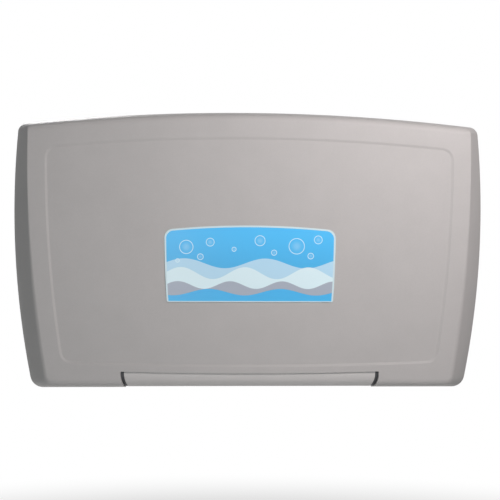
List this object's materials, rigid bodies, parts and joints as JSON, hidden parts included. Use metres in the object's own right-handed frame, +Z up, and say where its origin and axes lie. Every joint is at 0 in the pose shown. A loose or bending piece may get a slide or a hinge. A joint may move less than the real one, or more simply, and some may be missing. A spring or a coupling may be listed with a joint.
{
  "type": "baby changing station",
  "caption": "Wall-mounted horizontal baby changing station: moulded grey bed that folds down from a shallow housing on a barrel hinge, with gas strut, straps, buckle and liner pocket.",
  "frame": {"origin": "centre of the housing's back face, on the wall", "axes": "+X to the right across the front, +Y into the wall, +Z up"},
  "size_m": [0.8796, 0.102, 0.516],
  "materials": {
    "shell_grey": "fine-textured moulded polyethylene, warm grey",
    "inner_grey": "smooth moulded polyethylene, pale warm grey",
    "zinc_steel": "zinc-plated steel",
    "bright_steel": "bright ground steel",
    "black_steel": "satin black paint",
    "nylon": "moulded nylon, charcoal",
    "red_plastic": "moulded nylon, red",
    "rubber": "soft black rubber",
    "webbing": "woven nylon webbing, dark blue-grey",
    "label_print": "printed vinyl label, blue and pale aqua"
  },
  "bodies": {
    "housing": {"back_shell": "shell_grey", "inner_panel": "inner_grey", "liner_pocket": "inner_grey", "hinge_cover": "shell_grey", "strut_shroud": "inner_grey", "hinge_end_ring_left": "nylon", "hinge_end_ring_right": "nylon", "wall_plate_left": "zinc_steel", "wall_plate_right": "zinc_steel", "hinge_bracket_left": "zinc_steel", "hinge_bracket_right": "zinc_steel", "hinge_bush_left": "nylon", "hinge_bush_right": "nylon", "bracket_bolt_inner_left": "zinc_steel", "bracket_bolt_inner_right": "zinc_steel", "bracket_bolt_outer_left": "zinc_steel", "bracket_bolt_outer_right": "zinc_steel", "cross_rail": "zinc_steel", "strut_clevis": "zinc_steel", "strut_clevis_pin": "zinc_steel", "bag_hook_left": "bright_steel", "bag_hook_right": "bright_steel", "bumper_lower_left": "rubber", "bumper_lower_right": "rubber", "bumper_upper_left": "rubber", "bumper_upper_right": "rubber"},
    "bed": {"bed_cover": "shell_grey", "bed_tray": "inner_grey", "hinge_shaft": "zinc_steel", "shaft_collar_left": "zinc_steel", "shaft_collar_right": "zinc_steel", "bed_arm_left": "zinc_steel", "bed_arm_right": "zinc_steel", "bed_rail_left": "zinc_steel", "bed_rail_right": "zinc_steel", "crank_arm": "zinc_steel", "strap_left": "webbing", "strap_right": "webbing", "strap_anchor_left": "nylon", "strap_anchor_right": "nylon", "buckle_socket": "nylon", "buckle_tongue": "nylon", "front_label": "label_print"},
    "button": {"buckle_button": "red_plastic"},
    "strut_tube": {"strut_cylinder": "black_steel", "strut_top_eye": "black_steel", "strut_gland": "nylon"},
    "strut_piston": {"strut_rod": "bright_steel", "strut_rod_eye": "black_steel"}
  },
  "joints": [
    {"name": "bed_hinge", "type": "hinge", "parent": "housing", "child": "bed", "pos_m": [0, -0.074, -0.23], "axis": [1, 0, 0], "range_deg": [0, 90], "stiffness_Nm_per_rad": 5, "springref_deg": -20.05},
    {"name": "strut_swing", "type": "hinge", "parent": "housing", "child": "strut_tube", "pos_m": [0.15, -0.016, 0.042], "axis": [-1, 0, 0], "range_deg": [0, 5.3]},
    {"name": "strut_stroke", "type": "slide", "parent": "strut_tube", "child": "strut_piston", "axis": [0, 0.0873, 0.9962], "range_m": [0, 0.0448]},
    {"name": "buckle_press", "type": "slide", "parent": "bed", "child": "button", "axis": [0, -1, 0], "range_m": [0, 0.003], "stiffness_N_per_m": 600, "springref_m": -0.001}
  ],
  "couplings": [
    {"joint": "strut_swing", "follows": "bed_hinge", "ratio": 0.058564},
    {"joint": "strut_stroke", "follows": "bed_hinge", "m_per_rad": 0.028475}
  ]
}
